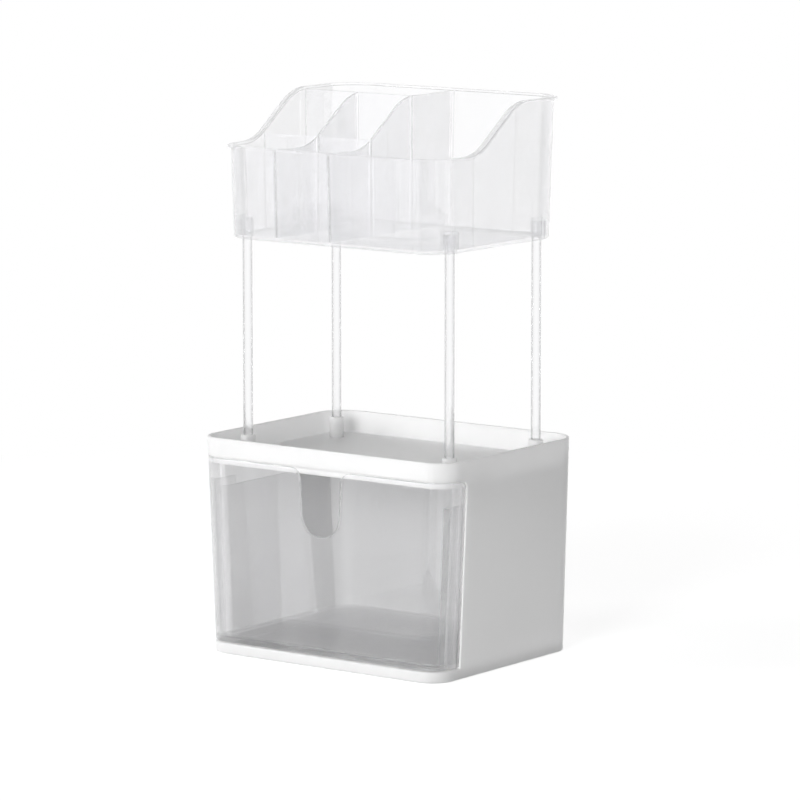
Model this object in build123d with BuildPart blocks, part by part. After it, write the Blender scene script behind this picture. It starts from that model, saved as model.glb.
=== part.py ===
"""Two-tier makeup organiser.

A white cabinet with one clear drawer carries a recessed shelf on its top.
Four clear columns stand in the shelf and hold a clear tray with fixed dividers.

Millimetres.  The origin is on the ground under the middle of the cabinet,
+X is to the right as seen from the front, -Y is the front, +Z is up.
"""

from build123d import *

import os
from math import cos, radians, sin, sqrt

# ---------------------------------------------------------------- cabinet, outside
cabinet_width_top = 190.0
cabinet_width_bottom = 177.8
cabinet_depth_top = 143.0
cabinet_depth_bottom = 142.0
cabinet_height = 135.0
front_corner_radius = 16.0
rear_corner_radius = 20.0
base_corner_radius = 15.0
base_edge_radius = 0.8
rim_edge_radius = 0.8
sill_edge_radius = 1.2

# ---------------------------------------------------------------- cabinet, inside
cabinet_wall = 2.6
shelf_rim_thickness = 2.2
shelf_depth = 14.0
shelf_thickness = 2.4
front_band_height = 12.0
bay_floor_height = 7.2
bay_floor_thickness = 2.2
runner_height = 0.5
runner_width = 3.0
runner_inset = 14.0
runner_end_margin = 12.0
underside_rib_thickness = 1.6
underside_rib_drop = 3.0
underside_rib_count = 3

# ---------------------------------------------------------------- drawer
drawer_front_thickness = 2.5
drawer_wall = 2.2
drawer_floor_thickness = 2.0
drawer_side_height = 93.5
drawer_shoulder_rise = 5.5
drawer_shoulder_length = 30.5
drawer_shoulder_radius = 2.0
drawer_wrap_depth = 22.5
drawer_wrap_corner_radius = 5.0
drawer_corner_radius_bottom = 9.0
drawer_corner_radius_top = 15.0
drawer_back_lean = 3.0
notch_mouth_width = 32.0
notch_base_width = 26.8
notch_depth = 41.0
notch_base_radius = 13.0
notch_mouth_radius = 7.0
drawer_edge_radius = 0.8
drawer_floor_radius = 2.5

# ---------------------------------------------------------------- drawer, clearances
drawer_side_clearance = 0.8
drawer_back_clearance = 0.8
drawer_runner_clearance = 0.3
drawer_front_gap = 0.6

# ---------------------------------------------------------------- columns
column_diameter = 6.0
column_margin_x = 6.4
column_margin_y = 18.8
column_chamfer = 0.4
column_fit_clearance = 0.08
column_end_clearance = 0.2
shelf_socket_diameter = 9.0
shelf_socket_height = 13.0
socket_edge_radius = 0.6
tray_socket_diameter = 8.4
tray_socket_depth = 11.2
tray_socket_cap = 1.8
tray_socket_web = 4.0

# ---------------------------------------------------------------- upper tray
tray_lift = 137.0
tray_height = 87.0
tray_front_height = 57.3
tray_margin_x = 10.4
tray_margin_y = 4.5
tray_lean_x = 1.2
tray_lean_y = 3.0
tray_corner_radius = 21.0
tray_wall = 2.2
tray_floor_thickness = 2.2
tray_setback = 2.2
rim_flange_width = 2.1
rim_flange_thickness = 1.8
flange_edge_radius = 0.6
tray_base_radius = 2.0
sweep_front_length = 27.8
sweep_angle = 36.0
sweep_low_radius = 32.0
sweep_high_radius = 39.0
divider_thickness = 1.8
divider_drop = 1.3
divider_rows = 3

# ---------------------------------------------------------------- foot pads
pad_diameter = 12.0
pad_thickness = 1.6
pad_stand_out = 0.4
pad_boss_diameter = 15.0
pad_inset = 18.0

# A length that reaches past everything, for cutting tools.
reach = 300.0

# ---------------------------------------------------------------- heights and places
shelf_floor = cabinet_height - shelf_depth
shelf_underside = shelf_floor - shelf_thickness
bay_floor_underside = bay_floor_height - bay_floor_thickness
opening_top = cabinet_height - front_band_height
opening_back = drawer_wrap_depth + drawer_front_gap - cabinet_depth_top / 2
wrap_back = drawer_wrap_depth - cabinet_depth_top / 2
pocket_depth = drawer_front_thickness + drawer_front_gap
pocket_wall_inset = pocket_depth + shelf_rim_thickness
pocket_wall_top = opening_top + shelf_rim_thickness

drawer_underside = bay_floor_height + runner_height + drawer_runner_clearance
drawer_floor = drawer_underside + drawer_floor_thickness
drawer_side_top = drawer_underside + drawer_side_height
drawer_shoulder_top = drawer_side_top + drawer_shoulder_rise
drawer_front_top = opening_top - drawer_front_gap

tray_width_top = cabinet_width_top - 2 * tray_margin_x
tray_width_bottom = tray_width_top - 2 * tray_lean_x
tray_depth_top = cabinet_depth_top - 2 * tray_margin_y
tray_depth_bottom = tray_depth_top - 2 * tray_lean_y
column_spacing_x = tray_width_bottom - 2 * column_margin_x
column_spacing_y = tray_depth_bottom - 2 * column_margin_y
tray_underside = shelf_floor + tray_lift
tray_floor = tray_underside + tray_floor_thickness
tray_top = tray_underside + tray_height
tray_front_top = tray_underside + tray_front_height

column_radius = column_diameter / 2
column_bore_radius = column_radius + column_fit_clearance
column_top = tray_underside + tray_socket_depth - column_end_clearance
column_spots = {
    "front_left": (-column_spacing_x / 2, tray_setback - column_spacing_y / 2),
    "front_right": (column_spacing_x / 2, tray_setback - column_spacing_y / 2),
    "rear_left": (-column_spacing_x / 2, tray_setback + column_spacing_y / 2),
    "rear_right": (column_spacing_x / 2, tray_setback + column_spacing_y / 2),
}
pad_x = cabinet_width_bottom / 2 - pad_inset
pad_y = cabinet_depth_bottom / 2 - pad_inset
pad_spots = {
    "front_left": (-pad_x, -pad_y),
    "front_right": (pad_x, -pad_y),
    "rear_left": (-pad_x, pad_y),
    "rear_right": (pad_x, pad_y),
}


def part_way(first, second, share):
    """The value that lies a given share of the way from first to second."""
    return first + (second - first) * share


# ---------------------------------------------------------------- cabinet profiles
def cabinet_half_width(height):
    """The sides lean outwards towards the top."""
    return part_way(cabinet_width_bottom, cabinet_width_top, height / cabinet_height) / 2


def cabinet_half_depth(height):
    """The front and the back lean too, but hardly."""
    return part_way(cabinet_depth_bottom, cabinet_depth_top, height / cabinet_height) / 2


def cabinet_outline(height, inset):
    """The cabinet's plan at a height, drawn in by inset all round."""
    share = height / cabinet_height
    with BuildSketch() as outline:
        Rectangle(2 * (cabinet_half_width(height) - inset), 2 * (cabinet_half_depth(height) - inset))
        front_corners = outline.vertices().group_by(Axis.Y)[0]
        fillet(front_corners, part_way(base_corner_radius, front_corner_radius, share) - inset)
        rear_corners = outline.vertices().group_by(Axis.Y)[-1]
        fillet(rear_corners, part_way(base_corner_radius, rear_corner_radius, share) - inset)
    return outline.sketch


def cabinet_block(low, high, inset=0.0):
    """A solid with the cabinet's leaning sides between two heights."""
    low_outline = cabinet_outline(low, inset)
    high_outline = cabinet_outline(high, inset)
    with BuildPart() as block:
        with BuildSketch(Plane.XY.offset(low)):
            add(low_outline)
        with BuildSketch(Plane.XY.offset(high)):
            add(high_outline)
        loft(ruled=True)
    return block.part


def edges_along_outline(piece, height):
    """The edges of a piece that run along the cabinet's outline at a height."""
    outline = cabinet_outline(height, 0).wire().moved(Location((0, 0, height)))
    level = piece.edges().filter_by_position(Axis.Z, height - 0.01, height + 0.01)
    return [edge for edge in level if outline.distance_to(edge @ 0.5) < 0.01]


def front_bar(back, low, high, corner_radius):
    """A bar across the front, from back forwards, with its top rear edge rounded."""
    with BuildPart() as bar:
        with BuildSketch(Plane.YZ) as side_view:
            with Locations((back, low)):
                Rectangle(reach, high - low, align=(Align.MAX, Align.MIN))
            top_rear_corner = side_view.vertices().group_by(Axis.Y)[-1].sort_by(Axis.X)[-1]
            fillet(top_rear_corner, corner_radius)
        extrude(amount=reach, both=True)
    return bar.part


# ---------------------------------------------------------------- cabinet tools
# The opening wraps round both front corners.  Above the shelf's underside only
# a shallow pocket is cut, which takes the top edge of the drawer's front.
with BuildPart() as front_opening:
    add(front_bar(opening_back, bay_floor_height, opening_top,
                  drawer_wrap_corner_radius + drawer_front_gap))
    add(cabinet_block(shelf_underside, opening_top + reach, pocket_depth), mode=Mode.SUBTRACT)

# Inside the shelf, a low ledge follows that pocket and keeps its wall whole.
with BuildPart() as pocket_ledge:
    add(cabinet_block(shelf_underside, pocket_wall_top))
    add(cabinet_block(shelf_underside, pocket_wall_top, pocket_wall_inset), mode=Mode.SUBTRACT)
    split(bisect_by=Plane.XZ.offset(-opening_back - shelf_rim_thickness), keep=Keep.TOP)

with BuildPart() as shelf_recess:
    add(cabinet_block(shelf_floor, cabinet_height + shelf_depth, shelf_rim_thickness))
    add(pocket_ledge.part, mode=Mode.SUBTRACT)

outer_block = cabinet_block(pad_stand_out, cabinet_height)
drawer_bay = cabinet_block(bay_floor_height, shelf_underside, cabinet_wall)
underside_hollow = cabinet_block(0, bay_floor_underside, cabinet_wall)

# ---------------------------------------------------------------- cabinet
with BuildPart() as cabinet:
    add(outer_block)
    fillet(cabinet.edges().group_by(Axis.Z)[0], base_edge_radius)
    add(drawer_bay, mode=Mode.SUBTRACT)
    add(front_opening.part, mode=Mode.SUBTRACT)
    fillet(edges_along_outline(cabinet, bay_floor_height), sill_edge_radius)
    add(shelf_recess.part, mode=Mode.SUBTRACT)
    fillet(cabinet.edges().group_by(Axis.Z)[-1], rim_edge_radius)
    add(underside_hollow, mode=Mode.SUBTRACT)

    # Two low runners carry the drawer.
    runner_x = cabinet_half_width(bay_floor_height) - cabinet_wall - runner_inset
    runner_length = cabinet_depth_bottom - 2 * runner_end_margin
    with BuildSketch(Plane.XY.offset(bay_floor_height)):
        with Locations((-runner_x, 0), (runner_x, 0)):
            SlotOverall(runner_length, runner_width, rotation=90)
    extrude(amount=runner_height)

    # Ribs stiffen the floor from below, and bosses hold the foot pads.
    rib_pitch = (cabinet_width_bottom - 2 * cabinet_wall) / (underside_rib_count + 1)
    with BuildSketch(Plane.XY.offset(bay_floor_underside)):
        with GridLocations(rib_pitch, 0, underside_rib_count, 1):
            Rectangle(underside_rib_thickness, cabinet_depth_bottom - cabinet_wall)
        Rectangle(cabinet_width_bottom - cabinet_wall, underside_rib_thickness)
    extrude(amount=-underside_rib_drop)
    with BuildSketch(Plane.XY.offset(pad_thickness)):
        with Locations(*pad_spots.values()):
            Circle(pad_boss_diameter / 2)
    extrude(amount=bay_floor_underside - pad_thickness)

    # Four tall sockets stand on the shelf and hold the columns.
    with BuildSketch(Plane.XY.offset(shelf_floor)):
        with Locations(*column_spots.values()):
            Circle(shelf_socket_diameter / 2)
    extrude(amount=shelf_socket_height)
    socket_top = shelf_floor + shelf_socket_height
    socket_edges = cabinet.edges().filter_by_position(Axis.Z, socket_top - 0.01, socket_top + 0.01)
    fillet(socket_edges, socket_edge_radius)
    with BuildSketch(Plane.XY.offset(shelf_floor)):
        with Locations(*column_spots.values()):
            Circle(column_bore_radius)
    extrude(amount=shelf_socket_height, mode=Mode.SUBTRACT)


# ---------------------------------------------------------------- drawer profiles
def drawer_half_width(height):
    """The drawer's sides lean with the cabinet's."""
    return cabinet_half_width(height) - cabinet_wall - drawer_side_clearance


def drawer_back(height):
    """The drawer's back leans more than the cabinet's, to leave its mould."""
    back_of_bay = cabinet_half_depth(height) - cabinet_wall - drawer_back_clearance
    return back_of_bay - drawer_back_lean * (drawer_shoulder_top - height) / drawer_side_height


def drawer_corner_radius(height):
    """The rear corners follow the cabinet's, and are rounder at the top."""
    share = (height - drawer_underside) / (drawer_side_top - drawer_underside)
    return part_way(drawer_corner_radius_bottom, drawer_corner_radius_top, share)


def drawer_outline(height, inset):
    """The drawer box's plan, open-ended towards the front."""
    half_width = drawer_half_width(height) - inset
    back = drawer_back(height) - inset
    with BuildSketch() as outline:
        with Locations((0, back)):
            Rectangle(2 * half_width, cabinet_depth_top, align=(Align.CENTER, Align.MAX))
        rear_corners = outline.vertices().group_by(Axis.Y)[-1]
        fillet(rear_corners, drawer_corner_radius(height) - inset)
    return outline.sketch


def drawer_block(low, high, inset=0.0):
    """A solid with the drawer box's leaning sides between two heights."""
    low_outline = drawer_outline(low, inset)
    high_outline = drawer_outline(high, inset)
    with BuildPart() as block:
        with BuildSketch(Plane.XY.offset(low)):
            add(low_outline)
        with BuildSketch(Plane.XY.offset(high)):
            add(high_outline)
        loft(ruled=True)
    return block.part


# ---------------------------------------------------------------- drawer tools
# The front panel is flush with the cabinet and wraps round both of its corners.
with BuildPart() as wrapped_front:
    add(front_bar(wrap_back, drawer_underside, drawer_front_top, drawer_wrap_corner_radius))
    add(cabinet_block(drawer_underside, drawer_front_top), mode=Mode.INTERSECT)
    add(cabinet_block(drawer_underside, drawer_front_top, drawer_front_thickness),
        mode=Mode.SUBTRACT)

with BuildPart() as box_body:
    add(drawer_block(drawer_underside, drawer_shoulder_top))
    add(cabinet_block(drawer_underside, drawer_shoulder_top), mode=Mode.INTERSECT)

with BuildPart() as box_space:
    add(drawer_block(drawer_floor, drawer_front_top, drawer_wall))
    add(cabinet_block(drawer_floor, drawer_front_top, drawer_front_thickness),
        mode=Mode.INTERSECT)

# Behind the shoulders beside the front, the walls are lower.
shoulder_back = drawer_shoulder_length - cabinet_depth_top / 2
with BuildPart() as above_side_walls:
    with BuildSketch(Plane.YZ) as side_view:
        with Locations((shoulder_back, drawer_side_top)):
            Rectangle(reach, reach, align=(Align.MIN, Align.MIN))
        step_corner = side_view.vertices().group_by(Axis.Y)[0].sort_by(Axis.X)[0]
        fillet(step_corner, drawer_shoulder_radius)
    extrude(amount=reach, both=True)

# The finger notch: a tapered U with a rounded foot and a rolled-out mouth.
notch_foot = drawer_front_top - notch_depth
with BuildPart() as finger_notch:
    with BuildSketch(Plane.XZ.offset(-wrap_back)) as notch_view:
        with BuildLine():
            Polyline(
                (-notch_base_width / 2, notch_foot),
                (notch_base_width / 2, notch_foot),
                (notch_mouth_width / 2, drawer_front_top),
                (-notch_mouth_width / 2, drawer_front_top),
                close=True,
            )
        make_face()
        foot_corners = notch_view.vertices().group_by(Axis.Y)[0]
        fillet(foot_corners, notch_base_radius)
        with Locations((0, drawer_front_top)):
            Rectangle(2 * notch_mouth_width, notch_depth, align=(Align.CENTER, Align.MIN))
        at_mouth = notch_view.vertices().sort_by_distance((0, drawer_front_top))
        mouth_corners = at_mouth[:2]
        fillet(mouth_corners, notch_mouth_radius)
    extrude(amount=reach)

# ---------------------------------------------------------------- drawer
with BuildPart() as drawer:
    add(wrapped_front.part)
    add(box_body.part)
    add(box_space.part, mode=Mode.SUBTRACT)
    add(above_side_walls.part, mode=Mode.SUBTRACT)
    add(finger_notch.part, mode=Mode.SUBTRACT)

    # The front's top edge, its notch and its foot are rounded for the hand.
    top_edges = drawer.edges().group_by(Axis.Z)[-1]
    notch_edges = (
        drawer.edges()
        .filter_by_position(Axis.X, -notch_mouth_width, notch_mouth_width)
        .filter_by_position(Axis.Y, -reach, wrap_back)
        .filter_by_position(Axis.Z, notch_foot - 1, drawer_front_top - 0.1)
    )
    fillet(top_edges + notch_edges, drawer_edge_radius)
    foot_edges = [
        edge for edge in edges_along_outline(drawer, drawer_underside)
        if (edge @ 0.5).Y < wrap_back - drawer_wrap_corner_radius
    ]
    fillet(foot_edges, drawer_edge_radius)
    floor_edges = drawer.edges().filter_by_position(Axis.Z, drawer_floor - 0.01, drawer_floor + 0.01)
    fillet(floor_edges, drawer_floor_radius)


# ---------------------------------------------------------------- tray profiles
def tray_outline(height, grow):
    """The tray's plan at a height, grown all round by grow."""
    share = (height - tray_underside) / tray_height
    half_width = part_way(tray_width_bottom, tray_width_top, share) / 2 + grow
    half_depth = part_way(tray_depth_bottom, tray_depth_top, share) / 2 + grow
    with BuildSketch() as outline:
        with Locations((0, tray_setback)):
            RectangleRounded(2 * half_width, 2 * half_depth, tray_corner_radius + grow)
    return outline.sketch


def tray_block(low, high, grow=0.0):
    """A solid with the tray's leaning sides between two heights."""
    low_outline = tray_outline(low, grow)
    high_outline = tray_outline(high, grow)
    with BuildPart() as block:
        with BuildSketch(Plane.XY.offset(low)):
            add(low_outline)
        with BuildSketch(Plane.XY.offset(high)):
            add(high_outline)
        loft(ruled=True)
    return block.part


# The rim line: level along the front, an S up both sides, level round the back.
sweep_start = tray_setback - tray_depth_top / 2 + sweep_front_length
sweep_turn = radians(sweep_angle)
sweep_radii = sweep_low_radius + sweep_high_radius
sweep_rise = tray_top - tray_front_top
sweep_straight = (sweep_rise - sweep_radii * (1 - cos(sweep_turn))) / sin(sweep_turn)


def above_rim(drop):
    """Everything above the rim line, when that is drawn in by drop."""
    with BuildPart() as space:
        with BuildSketch(Plane.YZ):
            with BuildLine():
                front = Line((-reach, tray_front_top - drop), (sweep_start, tray_front_top - drop))
                low = JernArc(front @ 1, (1, 0), sweep_low_radius + drop, sweep_angle)
                slope = PolarLine(low @ 1, sweep_straight, angle=sweep_angle)
                high = JernArc(slope @ 1, slope % 1, sweep_high_radius - drop, -sweep_angle)
                Polyline(
                    high @ 1,
                    (reach, tray_top - drop),
                    (reach, tray_top + reach),
                    (-reach, tray_top + reach),
                    (-reach, tray_front_top - drop),
                )
            make_face()
        extrude(amount=reach, both=True)
    return space.part


def low_sweep_height(y, drop):
    """The rim line's height at y, where y lies on its lower arc."""
    radius = sweep_low_radius + drop
    centre_height = tray_front_top + sweep_low_radius
    return centre_height - sqrt(radius**2 - (y - sweep_start) ** 2)


# ---------------------------------------------------------------- tray tools
above_walls = above_rim(0)
above_dividers = above_rim(divider_drop)
tray_inside = tray_block(tray_floor, tray_top, -tray_wall)

with BuildPart() as rim_flange:
    add(tray_block(tray_front_top - rim_flange_thickness, tray_top, rim_flange_width))
    add(tray_block(tray_front_top - rim_flange_thickness, tray_top, -tray_wall), mode=Mode.SUBTRACT)
    add(above_rim(rim_flange_thickness), mode=Mode.INTERSECT)
    add(above_walls, mode=Mode.SUBTRACT)

# The long divider halves the tray, and the short one halves its left side.
# Two cross walls part that side into rows of equal depth.
middle_share = (tray_front_height / 2) / tray_height
inner_width = part_way(tray_width_bottom, tray_width_top, middle_share) - 2 * tray_wall
inner_depth = part_way(tray_depth_bottom, tray_depth_top, middle_share) - 2 * tray_wall
short_divider_x = -inner_width / 4
row_depth = inner_depth / divider_rows
front_cross_y = tray_setback - inner_depth / 2 + row_depth
rear_cross_y = front_cross_y + row_depth
cross_wall_x = -tray_width_top / 4
divider_height = tray_height - tray_floor_thickness

with BuildPart() as long_dividers:
    with BuildSketch(Plane.XY.offset(tray_floor)):
        with Locations((0, tray_setback)):
            Rectangle(divider_thickness, tray_depth_top)
        with Locations((short_divider_x, rear_cross_y)):
            Rectangle(divider_thickness, tray_depth_top, align=(Align.CENTER, Align.MAX))
        with Locations((cross_wall_x, rear_cross_y)):
            Rectangle(-2 * cross_wall_x, divider_thickness)
    extrude(amount=divider_height)
    add(above_dividers, mode=Mode.SUBTRACT)

front_cross_top = low_sweep_height(front_cross_y, divider_drop)
with BuildPart() as dividers:
    add(long_dividers.part)
    with BuildSketch(Plane.XY.offset(tray_floor)):
        with Locations((cross_wall_x, front_cross_y)):
            Rectangle(-2 * cross_wall_x, divider_thickness)
    extrude(amount=front_cross_top - tray_floor)
    add(tray_block(tray_floor, tray_top, -tray_wall / 2), mode=Mode.INTERSECT)

# ---------------------------------------------------------------- tray
with BuildPart() as upper_tray:
    add(tray_block(tray_underside, tray_top))
    fillet(upper_tray.edges().group_by(Axis.Z)[0], tray_base_radius)
    add(tray_inside, mode=Mode.SUBTRACT)
    add(above_walls, mode=Mode.SUBTRACT)
    add(rim_flange.part)
    within_rim = tray_block(tray_floor, tray_top + tray_height, rim_flange_width / 2)
    rim_edges = [
        edge
        for edge in upper_tray.edges().filter_by_position(Axis.Z, tray_floor + tray_wall, reach * 2)
        if not within_rim.is_inside(edge @ 0.5)
    ]
    fillet(rim_edges, flange_edge_radius)
    add(dividers.part)

    # A capped socket over each column, joined to the side wall by a web.
    web_reach = tray_width_bottom / 2 - tray_wall / 2 - column_spacing_x / 2
    with BuildSketch(Plane.XY.offset(tray_floor)):
        with Locations(*column_spots.values()):
            Circle(tray_socket_diameter / 2)
        for x, y in column_spots.values():
            outwards = 1 if x > 0 else -1
            with Locations((x + outwards * web_reach / 2, y)):
                Rectangle(web_reach, tray_socket_web)
    extrude(amount=tray_socket_depth + tray_socket_cap - tray_floor_thickness)
    with BuildSketch(Plane.XY.offset(tray_underside)):
        with Locations(*column_spots.values()):
            Circle(column_bore_radius)
    extrude(amount=tray_socket_depth, mode=Mode.SUBTRACT)

# ---------------------------------------------------------------- columns and pads
columns = {}
for place, spot in column_spots.items():
    with BuildPart() as column:
        with BuildSketch(Plane.XY.offset(shelf_floor)):
            with Locations(spot):
                Circle(column_radius)
        extrude(amount=column_top - shelf_floor)
        chamfer(column.edges().filter_by(GeomType.CIRCLE), column_chamfer)
    columns["column_" + place] = column.part

pads = {}
for place, spot in pad_spots.items():
    with BuildPart() as pad:
        with BuildSketch():
            with Locations(spot):
                Circle(pad_diameter / 2)
        extrude(amount=pad_thickness)
    pads["foot_pad_" + place] = pad.part

# ---------------------------------------------------------------- write the pieces
pieces = {"cabinet": cabinet.part, "drawer": drawer.part, "upper_tray": upper_tray.part}
pieces.update(columns)
pieces.update(pads)
os.makedirs("parts", exist_ok=True)
for name, piece in pieces.items():
    piece.label = name
    export_step(piece, "parts/" + name + ".step")
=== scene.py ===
# %% [markdown]
# # A makeup organiser with a drawer and a raised tray
# The real object is a white moulded cabinet with one clear drawer, four clear
# rods that stand in its shelf, and a clear divided tray on top of them.  Its
# shapes are all moulded or extruded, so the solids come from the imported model
# and stay as they are.  This script gives them their plastics, their light and
# the view of the photograph.

# %% Load the solids
import math

import bpy
from mathutils import Matrix, Vector

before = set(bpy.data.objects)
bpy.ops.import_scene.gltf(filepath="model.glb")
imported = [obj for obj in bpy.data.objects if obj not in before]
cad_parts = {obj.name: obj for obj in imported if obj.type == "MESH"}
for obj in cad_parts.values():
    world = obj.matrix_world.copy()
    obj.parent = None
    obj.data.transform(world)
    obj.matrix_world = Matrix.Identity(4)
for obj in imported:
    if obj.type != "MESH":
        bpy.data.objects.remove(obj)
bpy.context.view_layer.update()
print("solids", sorted(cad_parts))

# %% [markdown]
# ## The camera
# The photograph is taken from the front right, a little above the cabinet, with
# a long lens: upright edges stay upright and far corners hardly shrink.  The
# camera is placed by the direction it looks in and its distance, because those
# are the numbers that a photographer would write down.

# %% Place the camera
VIEW_AZIMUTH = math.radians(36.55)
VIEW_ELEVATION = math.radians(8.55)
VIEW_DISTANCE = 3.07015
VIEW_HEIGHT = 0.15709
VIEW_SIDESTEP = 0.00655
LENS_MM = 223.99


def aim_camera():
    """A camera that looks at the middle of the object from the photograph's side."""
    right = Vector((math.cos(VIEW_AZIMUTH), math.sin(VIEW_AZIMUTH), 0))
    back = Vector((
        math.sin(VIEW_AZIMUTH) * math.cos(VIEW_ELEVATION),
        -math.cos(VIEW_AZIMUTH) * math.cos(VIEW_ELEVATION),
        math.sin(VIEW_ELEVATION),
    ))
    up = back.cross(right)
    data = bpy.data.cameras.new("photo_camera")
    data.sensor_width = 36
    data.lens = LENS_MM
    data.clip_start = 0.1
    data.clip_end = 50
    camera = bpy.data.objects.new("photo_camera", data)
    bpy.context.scene.collection.objects.link(camera)
    place = Vector((0, 0, VIEW_HEIGHT)) + VIEW_SIDESTEP * right + VIEW_DISTANCE * back
    camera.matrix_world = Matrix((
        (right.x, up.x, back.x, place.x),
        (right.y, up.y, back.y, place.y),
        (right.z, up.z, back.z, place.z),
        (0, 0, 0, 1),
    ))
    bpy.context.scene.camera = camera
    return camera


camera = aim_camera()
print("camera at", [round(x, 3) for x in camera.matrix_world.translation])

# %% [markdown]
# ## Helpers for materials
# A material is a small network of nodes.  Five helpers keep the cells that
# follow short.  One starts a material.  The others make the slight unevenness
# of moulded plastic: a soft noise, that noise spread out to a range, two near
# tones mixed by it, and a shallow bump from it.  A Mix node has several sockets
# of the same name, so its colour sockets go by number.

# %% Material helpers
MIX_FACTOR, MIX_FIRST, MIX_SECOND, MIX_RESULT = 0, 6, 7, 2
NOISE_LOW, NOISE_HIGH = 0.3, 0.7


def new_material(name):
    """An empty material, with its nodes, links and output."""
    material = bpy.data.materials.new(name)
    material.use_nodes = True
    tree = material.node_tree
    tree.nodes.clear()
    output = tree.nodes.new("ShaderNodeOutputMaterial")
    return material, tree, output


def moulded_noise(tree, scale, detail=2.0):
    """Soft noise fixed to the piece, as a moulding's own slight unevenness."""
    place = tree.nodes.new("ShaderNodeTexCoord")
    noise = tree.nodes.new("ShaderNodeTexNoise")
    noise.inputs["Scale"].default_value = scale
    noise.inputs["Detail"].default_value = detail
    tree.links.new(place.outputs["Object"], noise.inputs["Vector"])
    return noise.outputs["Fac"]


def spread(tree, value, low, high):
    """Noise spread out from its usual values to a range of roughness."""
    node = tree.nodes.new("ShaderNodeMapRange")
    node.inputs["From Min"].default_value = NOISE_LOW
    node.inputs["From Max"].default_value = NOISE_HIGH
    node.inputs["To Min"].default_value = low
    node.inputs["To Max"].default_value = high
    tree.links.new(value, node.inputs["Value"])
    return node.outputs["Result"]


def two_tones(tree, value, first, second):
    """A colour that wanders between two near tones."""
    mix = tree.nodes.new("ShaderNodeMix")
    mix.data_type = "RGBA"
    mix.inputs[MIX_FIRST].default_value = (*first, 1)
    mix.inputs[MIX_SECOND].default_value = (*second, 1)
    tree.links.new(value, mix.inputs[MIX_FACTOR])
    return mix.outputs[MIX_RESULT]


def fine_bump(tree, height, depth_m):
    """Turns a height into shading, so that gloss breaks up over the surface."""
    bump = tree.nodes.new("ShaderNodeBump")
    bump.inputs["Strength"].default_value = 1.0
    bump.inputs["Distance"].default_value = depth_m
    tree.links.new(height, bump.inputs["Height"])
    return bump.outputs["Normal"]


# %% [markdown]
# ## White cabinet plastic
# The cabinet is glossy white plastic from a polished mould, such as polystyrene.
# Up close such a skin has a faint orange peel and its gloss is a little uneven.
# Both are much too fine to model, so they are noise in the roughness and in the
# bump.  The inside of the bay isn't dark, as if some light came through thin
# walls, so the shader also scatters light below the surface.

# %% White plastic
WHITE_INDEX = 1.5
WHITE_SCATTER_M = 0.0055
WHITE_TONES = (0.945, 0.945, 0.95), (0.955, 0.955, 0.96)
WHITE_ROUGHNESS = 0.3, 0.42
PATCH_SCALE = 18
PEEL_SCALE = 500
PEEL_DEPTH_M = 0.000004


def white_plastic():
    """Glossy white moulding with an uneven sheen."""
    material, tree, output = new_material("white_moulding")
    shader = tree.nodes.new("ShaderNodeBsdfPrincipled")
    shader.inputs["IOR"].default_value = WHITE_INDEX
    shader.inputs["Subsurface Weight"].default_value = 1.0
    shader.inputs["Subsurface Radius"].default_value = (1.0, 1.0, 1.0)
    shader.inputs["Subsurface Scale"].default_value = WHITE_SCATTER_M
    patches = moulded_noise(tree, PATCH_SCALE, 3)
    peel = moulded_noise(tree, PEEL_SCALE, 2)
    tree.links.new(two_tones(tree, patches, *WHITE_TONES), shader.inputs["Base Color"])
    tree.links.new(spread(tree, patches, *WHITE_ROUGHNESS), shader.inputs["Roughness"])
    tree.links.new(fine_bump(tree, peel, PEEL_DEPTH_M), shader.inputs["Normal"])
    tree.links.new(shader.outputs[0], output.inputs["Surface"])
    return material


white = white_plastic()
print(white.name, "scatters light over", 1000 * WHITE_SCATTER_M, "mm")

# %% [markdown]
# ## Clear plastic
# The drawer, tray and columns are clear plastic, such as polystyrene or acrylic.
# It bends light as glass does, so a wall is nearly invisible face on, and its
# edges, rims and corners show as thin grey lines.  Four things make that look.
# The shader has the index of such a plastic.  The colour greys towards grazing
# angles: painted shade, which stands in for what an edge shows of a darker room.
# A share of plain see-through shader keeps thin walls from veiling what is
# behind them.  And lamp rays pass straight through, because a path tracer would
# otherwise leave everything behind the plastic in the dark.  On the rods the
# painted shade starts at once from their middle line, because white surroundings
# would hide them, and their share of plain see-through keeps their flat tops
# from going black.

# %% Clear plastic
CLEAR_INDEX = 1.55
CLEAR_ROUGHNESS = 0.0, 0.03
FLOW_SCALE = 40
FLOW_DEPTH_M = 0.000006


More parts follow.
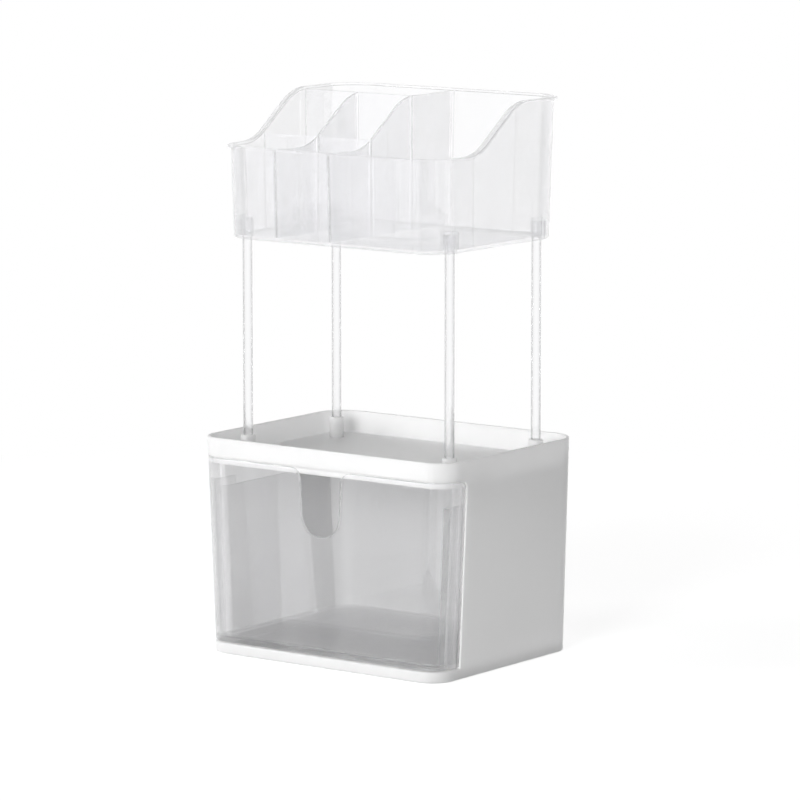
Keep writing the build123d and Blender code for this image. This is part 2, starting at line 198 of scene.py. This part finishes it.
def clear_plastic(name, face_tone, painted_edge_tone, lamp_tint, plain_share, painted_grey_from):
    """Polished clear plastic, with painted shade that greys it towards grazing angles."""
    material, tree, output = new_material(name)
    shader = tree.nodes.new("ShaderNodeBsdfPrincipled")
    shader.inputs["Transmission Weight"].default_value = 1.0
    shader.inputs["IOR"].default_value = CLEAR_INDEX
    # Painted shade: the base colour greys from face_tone to the edge tone towards grazing
    # angles.
    edge_on = tree.nodes.new("ShaderNodeLayerWeight")
    edge_on.inputs["Blend"].default_value = 0.5
    ramp = tree.nodes.new("ShaderNodeValToRGB")
    ramp.color_ramp.elements[0].position = painted_grey_from
    ramp.color_ramp.elements[0].color = (*face_tone, 1)
    ramp.color_ramp.elements[1].position = 1.0
    ramp.color_ramp.elements[1].color = (*painted_edge_tone, 1)
    tree.links.new(edge_on.outputs["Facing"], ramp.inputs["Fac"])
    tree.links.new(ramp.outputs["Color"], shader.inputs["Base Color"])
    flow = moulded_noise(tree, FLOW_SCALE, 2)
    tree.links.new(spread(tree, flow, *CLEAR_ROUGHNESS), shader.inputs["Roughness"])
    tree.links.new(fine_bump(tree, flow, FLOW_DEPTH_M), shader.inputs["Normal"])

    plain = tree.nodes.new("ShaderNodeBsdfTransparent")
    plain.inputs["Color"].default_value = (*face_tone, 1)
    soften = tree.nodes.new("ShaderNodeMixShader")
    soften.inputs[0].default_value = plain_share
    tree.links.new(shader.outputs[0], soften.inputs[1])
    tree.links.new(plain.outputs[0], soften.inputs[2])

    lamps_pass = tree.nodes.new("ShaderNodeBsdfTransparent")
    lamps_pass.inputs["Color"].default_value = (*lamp_tint, 1)
    path = tree.nodes.new("ShaderNodeLightPath")
    either = tree.nodes.new("ShaderNodeMath")
    either.operation = "MAXIMUM"
    tree.links.new(path.outputs["Is Shadow Ray"], either.inputs[0])
    tree.links.new(path.outputs["Is Diffuse Ray"], either.inputs[1])
    choose = tree.nodes.new("ShaderNodeMixShader")
    tree.links.new(either.outputs[0], choose.inputs[0])
    tree.links.new(soften.outputs[0], choose.inputs[1])
    tree.links.new(lamps_pass.outputs[0], choose.inputs[2])
    tree.links.new(choose.outputs[0], output.inputs["Surface"])
    return material


# The moulding's painted edge shade starts past half way to grazing.
clear = clear_plastic(
    "clear_moulding",
    face_tone=(0.993, 0.993, 0.997),
    painted_edge_tone=(0.3, 0.31, 0.33),
    lamp_tint=(0.999, 0.999, 0.999),
    plain_share=0.5,
    painted_grey_from=0.55,
)
# The rods' painted shade is near black and starts at their middle line.
rod = clear_plastic(
    "clear_rod",
    face_tone=(0.98, 0.98, 0.985),
    painted_edge_tone=(0.06, 0.063, 0.07),
    lamp_tint=(0.98, 0.98, 0.98),
    plain_share=0.35,
    painted_grey_from=0.0,
)
print("clear plastics", clear.name, "and", rod.name, "with an index of", CLEAR_INDEX)

# %% [markdown]
# ## Foot pads
# Small pads of pale rubber keep the cabinet off the table.  Rubber is matt and
# slightly grainy, so its grain is a fine noise in tone, roughness and bump.

# %% Pad rubber
RUBBER_TONES = (0.68, 0.68, 0.68), (0.76, 0.76, 0.76)
RUBBER_ROUGHNESS = 0.65, 0.85
GRAIN_SCALE = 1500
GRAIN_DEPTH_M = 0.00005


def pad_rubber():
    """Pale matt rubber with a fine grain."""
    material, tree, output = new_material("pad_rubber")
    shader = tree.nodes.new("ShaderNodeBsdfPrincipled")
    grain = moulded_noise(tree, GRAIN_SCALE, 3)
    tree.links.new(two_tones(tree, grain, *RUBBER_TONES), shader.inputs["Base Color"])
    tree.links.new(spread(tree, grain, *RUBBER_ROUGHNESS), shader.inputs["Roughness"])
    tree.links.new(fine_bump(tree, grain, GRAIN_DEPTH_M), shader.inputs["Normal"])
    tree.links.new(shader.outputs[0], output.inputs["Surface"])
    return material


rubber = pad_rubber()
print(rubber.name, "has a grain", 1000 * GRAIN_DEPTH_M, "mm deep")

# %% [markdown]
# ## Give each piece its plastic
# Every piece keeps its solid, and its curved faces come in already shaded
# smooth.  A piece's name says what it is, so the start of the name picks its
# material.

# %% Assign the materials
PLASTICS = {"cabinet": white, "foot_pad": rubber, "drawer": clear, "upper_tray": clear,
            "column": rod}

for name, piece in sorted(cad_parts.items()):
    kind = next(start for start in PLASTICS if name.startswith(start))
    piece.data.materials.clear()
    piece.data.materials.append(PLASTICS[kind])
    print(name, "is", PLASTICS[kind].name, "with", len(piece.data.polygons), "faces")

# %% [markdown]
# ## Rays that look and rays that light
# A white background tends to light the object too much.  Cycles can tell the
# rays that look at something, straight or by way of gloss and clear plastic,
# from the rays that carry light to it.  One helper gives the two kinds their
# own value, and another tells the far floor from the floor round the object.

# %% Looking and lighting
NEAR_ENDS_M = 0.3
FAR_BEGINS_M = 0.8


def looked_at(tree, unseen, seen):
    """One value for light that falls on things, another for what the eye sees."""
    path = tree.nodes.new("ShaderNodeLightPath")
    total = None
    for ray in ("Is Camera Ray", "Is Glossy Ray", "Is Transmission Ray"):
        if total is None:
            total = path.outputs[ray]
            continue
        either = tree.nodes.new("ShaderNodeMath")
        either.operation = "MAXIMUM"
        tree.links.new(total, either.inputs[0])
        tree.links.new(path.outputs[ray], either.inputs[1])
        total = either.outputs[0]
    choose = tree.nodes.new("ShaderNodeMapRange")
    choose.inputs["To Min"].default_value = unseen
    choose.inputs["To Max"].default_value = seen
    tree.links.new(total, choose.inputs["Value"])
    return choose.outputs["Result"]


def far_away(tree, seen):
    """0 round the object and 1 far from it, and 0 for light that only bounces."""
    place = tree.nodes.new("ShaderNodeTexCoord")
    distance = tree.nodes.new("ShaderNodeVectorMath")
    distance.operation = "LENGTH"
    tree.links.new(place.outputs["Object"], distance.inputs[0])
    rise = tree.nodes.new("ShaderNodeMapRange")
    rise.inputs["From Min"].default_value = NEAR_ENDS_M
    rise.inputs["From Max"].default_value = FAR_BEGINS_M
    tree.links.new(distance.outputs["Value"], rise.inputs["Value"])
    both = tree.nodes.new("ShaderNodeMath")
    both.operation = "MULTIPLY"
    tree.links.new(rise.outputs["Result"], both.inputs[0])
    tree.links.new(seen, both.inputs[1])
    return both.outputs[0]


# %% [markdown]
# ## The floor
# The photograph stands on plain white, with hardly a shadow.  The floor is a
# large matt sheet.  Near the object a little glow lifts it to white and leaves
# the soft shadow.  Farther off it is exactly white: any brighter, and the clear
# tray in front of it would clip to white and vanish.

# %% Floor
NEAR_GLOW = 0.62
FLOOR_TONE = (0.8, 0.8, 0.8)
FLOOR_REACH_M = 30


def pale_floor():
    """A wide matt sheet that shows as white."""
    mesh = bpy.data.meshes.new("floor")
    turns = ((-1, -1), (1, -1), (1, 1), (-1, 1))
    corners = [(FLOOR_REACH_M * x, FLOOR_REACH_M * y, 0) for x, y in turns]
    mesh.from_pydata(corners, [], [(0, 1, 2, 3)])
    floor = bpy.data.objects.new("floor", mesh)
    bpy.context.scene.collection.objects.link(floor)
    material, tree, output = new_material("pale_floor")
    matt = tree.nodes.new("ShaderNodeBsdfDiffuse")
    matt.inputs["Color"].default_value = (*FLOOR_TONE, 1)
    glow = tree.nodes.new("ShaderNodeEmission")
    tree.links.new(looked_at(tree, 0.0, NEAR_GLOW), glow.inputs["Strength"])
    near = tree.nodes.new("ShaderNodeAddShader")
    tree.links.new(matt.outputs[0], near.inputs[0])
    tree.links.new(glow.outputs[0], near.inputs[1])
    far = tree.nodes.new("ShaderNodeEmission")
    choose = tree.nodes.new("ShaderNodeMixShader")
    tree.links.new(far_away(tree, looked_at(tree, 0.0, 1.0)), choose.inputs[0])
    tree.links.new(near.outputs[0], choose.inputs[1])
    tree.links.new(far.outputs[0], choose.inputs[2])
    tree.links.new(choose.outputs[0], output.inputs["Surface"])
    mesh.materials.append(material)
    return floor


floor = pale_floor()
print("floor is", round(floor.dimensions.x), "m wide")

# %% [markdown]
# ## The surroundings
# A product like this is photographed in a white studio.  The surroundings show
# as white behind it, and as a softer fill on it.  They are darker overhead,
# which keeps the shelf from washing out and gives the clear edges something to
# show.

# %% Surroundings
FILL = 0.59
CEILING = 0.38
CEILING_STARTS = 0.15
CEILING_ENDS = 0.75


def darker_overhead(tree, overhead):
    """1 at the horizon, falling to a darker ceiling, as in a studio."""
    place = tree.nodes.new("ShaderNodeTexCoord")
    parts = tree.nodes.new("ShaderNodeSeparateXYZ")
    tree.links.new(place.outputs["Generated"], parts.inputs[0])
    fall = tree.nodes.new("ShaderNodeMapRange")
    fall.inputs["From Min"].default_value = CEILING_STARTS
    fall.inputs["From Max"].default_value = CEILING_ENDS
    fall.inputs["To Min"].default_value = 1.0
    fall.inputs["To Max"].default_value = overhead
    tree.links.new(parts.outputs["Z"], fall.inputs["Value"])
    return fall.outputs["Result"]


def surroundings(fill, overhead):
    """White to the eye, and a softer fill for what it lights."""
    world = bpy.data.worlds.new("surroundings")
    bpy.context.scene.world = world
    world.use_nodes = True
    tree = world.node_tree
    tree.nodes.clear()
    output = tree.nodes.new("ShaderNodeOutputWorld")
    backdrop = tree.nodes.new("ShaderNodeBackground")
    studio = tree.nodes.new("ShaderNodeBackground")
    tree.links.new(looked_at(tree, fill, 1.0), studio.inputs["Strength"])
    tree.links.new(darker_overhead(tree, overhead), studio.inputs["Color"])
    path = tree.nodes.new("ShaderNodeLightPath")
    choose = tree.nodes.new("ShaderNodeMixShader")
    tree.links.new(path.outputs["Is Camera Ray"], choose.inputs[0])
    tree.links.new(studio.outputs[0], choose.inputs[1])
    tree.links.new(backdrop.outputs[0], choose.inputs[2])
    tree.links.new(choose.outputs[0], output.inputs["Surface"])


surroundings(FILL, CEILING)
print("fill", FILL, "and overhead", round(FILL * CEILING, 2))

# %% [markdown]
# ## The lamps
# In the photograph the right side of the cabinet is its darkest face, the
# drawer's bay is bright to its back, and the left rim throws a short shadow on
# the shelf.  So one soft lamp stands low in front and shines into the bay, a
# weaker one stands at the left, and one behind keeps the back from going grey.


# %% Lamps
def soft_lamp(name, place, aim, size, watts, mirrored=False):
    """A square studio lamp turned towards a point, and hidden from the eye."""
    data = bpy.data.lights.new(name, "AREA")
    data.shape = "SQUARE"
    data.size = size
    data.energy = watts
    lamp = bpy.data.objects.new(name, data)
    bpy.context.scene.collection.objects.link(lamp)
    lamp.location = place
    lamp.rotation_euler = (Vector(aim) - Vector(place)).to_track_quat("-Z", "Y").to_euler()
    lamp.visible_camera = False
    lamp.visible_glossy = mirrored
    lamp.visible_transmission = False
    return lamp


lamps = [
    soft_lamp("front_lamp", (0.6, -2.95, 0.65), (0, 0, 0.1), 1.1, 50),
    soft_lamp("left_lamp", (-2.2, -1.9, 0.9), (0, 0, 0.12), 1.2, 26, mirrored=True),
    soft_lamp("back_lamp", (-0.6, 3.0, 0.7), (0, 0, 0.1), 1.2, 22),
]
print("lamps", [(lamp.name, lamp.data.energy) for lamp in lamps])

# %% [markdown]
# ## Finish
# The picture is shown as it is, with no look laid over it.

# %% Finish
bpy.context.scene.view_settings.view_transform = "Standard"
